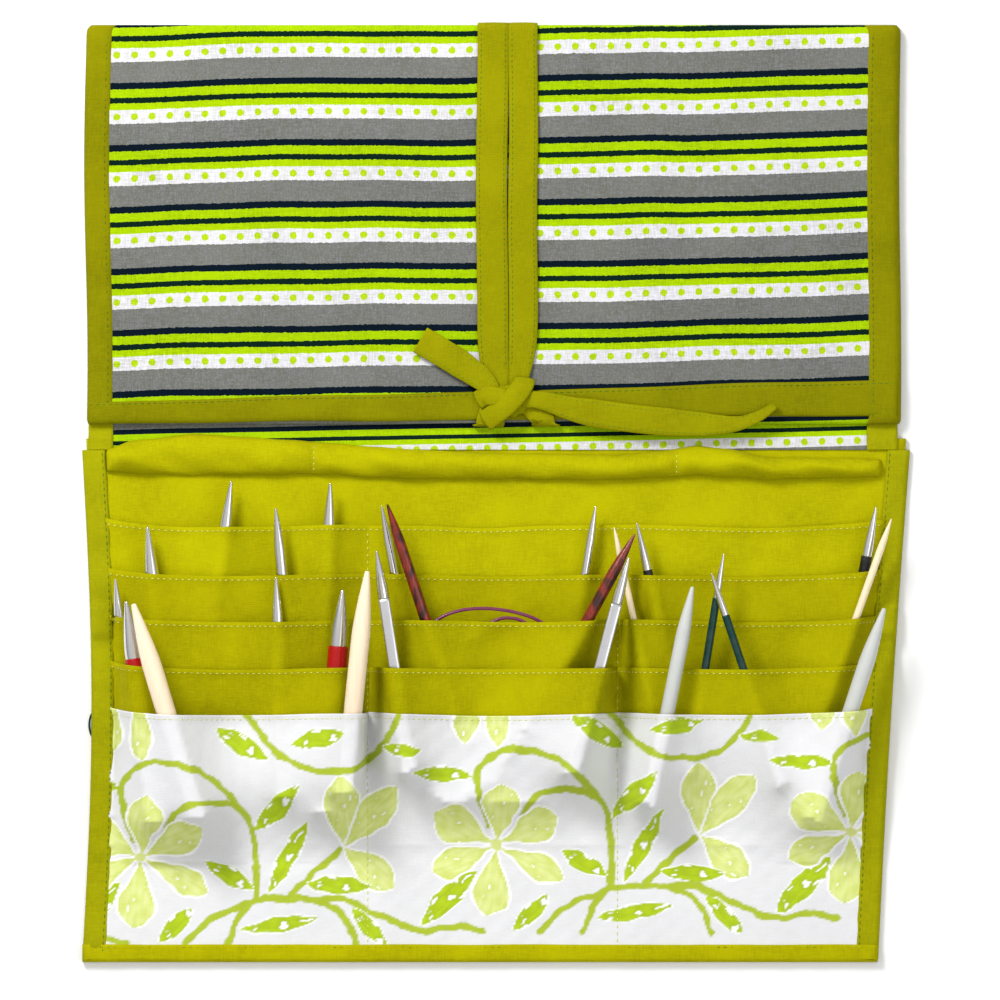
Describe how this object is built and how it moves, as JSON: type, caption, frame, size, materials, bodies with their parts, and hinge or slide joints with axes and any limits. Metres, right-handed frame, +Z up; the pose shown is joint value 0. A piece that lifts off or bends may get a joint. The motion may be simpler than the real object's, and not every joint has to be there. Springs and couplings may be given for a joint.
{
  "type": "interchangeable needle set",
  "caption": "Folding cloth case laid open, with tiers of stitched pockets holding pairs of knitting needle tips, a tip flap, a striped cover and tie ribbons.",
  "frame": {"origin": "under the middle of the open case's bounding box, on the surface it lies on", "axes": "+X to the right across the case, +Y from the bottom hem to the cover, +Z up out of the table"},
  "size_m": [0.3384, 0.384, 0.0362],
  "materials": {
    "green_quilting_cloth": "matt woven cotton",
    "binding_cloth": "matt woven cotton",
    "floral_cloth": "matt printed cotton",
    "striped_cloth": "matt printed cotton",
    "ribbon": "soft cotton tape",
    "polished_steel": "polished",
    "satin_steel": "satin",
    "black_lacquer": "gloss",
    "red_lacquer": "gloss",
    "green_lacquer": "gloss",
    "laminated_wood": "satin lacquer",
    "bamboo": "satin",
    "birch": "satin",
    "grey_plastic": "gloss",
    "cable_plastic": "gloss"
  },
  "bodies": {
    "pocket_leaf": {"leaf_cloth": "green_quilting_cloth", "leaf_binding_left": "binding_cloth", "leaf_binding_right": "binding_cloth", "spine_gusset": "striped_cloth", "pocket_cloth_1": "green_quilting_cloth", "pocket_cloth_2": "green_quilting_cloth", "pocket_cloth_3": "green_quilting_cloth", "pocket_cloth_4": "green_quilting_cloth", "floral_cloth": "floral_cloth"},
    "bottom_strip": {"strip_cloth": "green_quilting_cloth", "strip_binding_left": "binding_cloth", "strip_binding_right": "binding_cloth", "bottom_binding": "binding_cloth", "floral_strip": "floral_cloth"},
    "cover": {"cover_cloth": "striped_cloth", "cover_binding_left": "binding_cloth", "cover_binding_right": "binding_cloth", "ribbon_band_left": "ribbon", "ribbon_band_right": "ribbon", "ribbon_knot": "ribbon", "ribbon_short_end": "ribbon", "ribbon_long_end": "ribbon"},
    "circular_needle": {"wood_tip_left": "laminated_wood", "wood_tip_right": "laminated_wood", "cable": "cable_plastic"},
    "tip_flap_body": {"tip_flap": "green_quilting_cloth"},
    "steel_tip_1_needle": {"steel_tip_1": "polished_steel"},
    "steel_tip_2_needle": {"steel_tip_2": "polished_steel"},
    "steel_tip_3_needle": {"steel_tip_3": "polished_steel"},
    "steel_tip_4_needle": {"steel_tip_4": "polished_steel"},
    "steel_tip_5_needle": {"steel_tip_5": "polished_steel"},
    "steel_tip_6_needle": {"steel_tip_6": "polished_steel"},
    "black_tip_1_needle": {"black_tip_1_shaft": "black_lacquer", "black_tip_1_point": "polished_steel"},
    "black_tip_2_needle": {"black_tip_2_shaft": "black_lacquer", "black_tip_2_point": "polished_steel"},
    "steel_tip_7_needle": {"steel_tip_7": "polished_steel"},
    "steel_tip_8_needle": {"steel_tip_8": "polished_steel"},
    "ivory_tip_1_needle": {"ivory_tip_1": "bamboo"},
    "ivory_tip_2_needle": {"ivory_tip_2": "bamboo"},
    "red_tip_1_needle": {"red_tip_1_shaft": "red_lacquer", "red_tip_1_point": "polished_steel"},
    "red_tip_2_needle": {"red_tip_2_shaft": "red_lacquer", "red_tip_2_point": "polished_steel"},
    "square_tip_1_needle": {"square_tip_1_shaft": "satin_steel", "square_tip_1_point": "polished_steel"},
    "square_tip_2_needle": {"square_tip_2_shaft": "satin_steel", "square_tip_2_point": "polished_steel"},
    "green_tip_1_needle": {"green_tip_1_shaft": "green_lacquer", "green_tip_1_point": "polished_steel"},
    "green_tip_2_needle": {"green_tip_2_shaft": "green_lacquer", "green_tip_2_point": "polished_steel"},
    "birch_tip_1_needle": {"birch_tip_1": "birch"},
    "birch_tip_2_needle": {"birch_tip_2": "birch"},
    "grey_tip_1_needle": {"grey_tip_1": "grey_plastic"},
    "grey_tip_2_needle": {"grey_tip_2": "grey_plastic"}
  },
  "joints": [
    {"name": "cover_fold", "type": "hinge", "parent": "pocket_leaf", "child": "cover", "pos_m": [0, 0.0246, 0.022], "axis": [-1, 0, 0], "range_deg": [-180, 0]},
    {"name": "bottom_fold", "type": "hinge", "parent": "pocket_leaf", "child": "bottom_strip", "pos_m": [0, -0.154, 0.0034], "axis": [1, 0, 0], "range_deg": [-90, 0]},
    {"name": "flap_fold", "type": "hinge", "parent": "pocket_leaf", "child": "tip_flap_body", "pos_m": [0, 0.0242, 0.00385], "axis": [1, 0, 0], "range_deg": [-90, 0]},
    {"name": "circular_draw", "type": "slide", "parent": "pocket_leaf", "child": "circular_needle", "axis": [0, 0.9995, 0.0314], "range_m": [0, 0.05]},
    {"name": "steel_tip_1_draw", "type": "slide", "parent": "pocket_leaf", "child": "steel_tip_1_needle", "axis": [0.1245, 0.9908, 0.0523], "range_m": [0, 0.074]},
    {"name": "steel_tip_2_draw", "type": "slide", "parent": "pocket_leaf", "child": "steel_tip_2_needle", "axis": [0.0335, 0.9981, 0.0523], "range_m": [0, 0.075]},
    {"name": "steel_tip_3_draw", "type": "slide", "parent": "pocket_leaf", "child": "steel_tip_3_needle", "axis": [-0.0926, 0.9947, 0.0436], "range_m": [0, 0.073]},
    {"name": "steel_tip_4_draw", "type": "slide", "parent": "pocket_leaf", "child": "steel_tip_4_needle", "axis": [-0.0947, 0.9945, 0.0436], "range_m": [0, 0.065]},
    {"name": "steel_tip_5_draw", "type": "slide", "parent": "pocket_leaf", "child": "steel_tip_5_needle", "axis": [-0.1822, 0.9823, 0.0436], "range_m": [0, 0.064]},
    {"name": "steel_tip_6_draw", "type": "slide", "parent": "pocket_leaf", "child": "steel_tip_6_needle", "axis": [0.1519, 0.9874, 0.0436], "range_m": [0, 0.064]},
    {"name": "black_tip_1_draw", "type": "slide", "parent": "pocket_leaf", "child": "black_tip_1_needle", "axis": [-0.2167, 0.9753, 0.0436], "range_m": [0, 0.071]},
    {"name": "black_tip_2_draw", "type": "slide", "parent": "pocket_leaf", "child": "black_tip_2_needle", "axis": [0.1803, 0.9826, 0.0436], "range_m": [0, 0.065]},
    {"name": "steel_tip_7_draw", "type": "slide", "parent": "pocket_leaf", "child": "steel_tip_7_needle", "axis": [-0.0933, 0.9951, 0.0314], "range_m": [0, 0.075]},
    {"name": "steel_tip_8_draw", "type": "slide", "parent": "pocket_leaf", "child": "steel_tip_8_needle", "axis": [-0.0311, 0.999, 0.0314], "range_m": [0, 0.075]},
    {"name": "ivory_tip_1_draw", "type": "slide", "parent": "pocket_leaf", "child": "ivory_tip_1_needle", "axis": [-0.2103, 0.9771, 0.0314], "range_m": [0, 0.054]},
    {"name": "ivory_tip_2_draw", "type": "slide", "parent": "pocket_leaf", "child": "ivory_tip_2_needle", "axis": [0.3341, 0.942, 0.0314], "range_m": [0, 0.049]},
    {"name": "red_tip_1_draw", "type": "slide", "parent": "pocket_leaf", "child": "red_tip_1_needle", "axis": [-0.1329, 0.991, 0.0175], "range_m": [0, 0.065]},
    {"name": "red_tip_2_draw", "type": "slide", "parent": "pocket_leaf", "child": "red_tip_2_needle", "axis": [0.0779, 0.9968, 0.0175], "range_m": [0, 0.061]},
    {"name": "square_tip_1_draw", "type": "slide", "parent": "pocket_leaf", "child": "square_tip_1_needle", "axis": [-0.152, 0.9882, 0.0175], "range_m": [0, 0.044]},
    {"name": "square_tip_2_draw", "type": "slide", "parent": "pocket_leaf", "child": "square_tip_2_needle", "axis": [0.2541, 0.967, 0.0175], "range_m": [0, 0.046]},
    {"name": "green_tip_1_draw", "type": "slide", "parent": "pocket_leaf", "child": "green_tip_1_needle", "axis": [0.1584, 0.9872, 0.0175], "range_m": [0, 0.046]},
    {"name": "green_tip_2_draw", "type": "slide", "parent": "pocket_leaf", "child": "green_tip_2_needle", "axis": [-0.3177, 0.948, 0.0175], "range_m": [0, 0.052]},
    {"name": "birch_tip_1_draw", "type": "slide", "parent": "pocket_leaf", "child": "birch_tip_1_needle", "axis": [-0.2889, 0.9573, 0.0105], "range_m": [0, 0.046]},
    {"name": "birch_tip_2_draw", "type": "slide", "parent": "pocket_leaf", "child": "birch_tip_2_needle", "axis": [0.1017, 0.9948, 0.0105], "range_m": [0, 0.034]},
    {"name": "grey_tip_1_draw", "type": "slide", "parent": "pocket_leaf", "child": "grey_tip_1_needle", "axis": [0.195, 0.9807, 0.0105], "range_m": [0, 0.04]},
    {"name": "grey_tip_2_draw", "type": "slide", "parent": "pocket_leaf", "child": "grey_tip_2_needle", "axis": [0.3114, 0.9502, 0.0105], "range_m": [0, 0.048]}
  ]
}
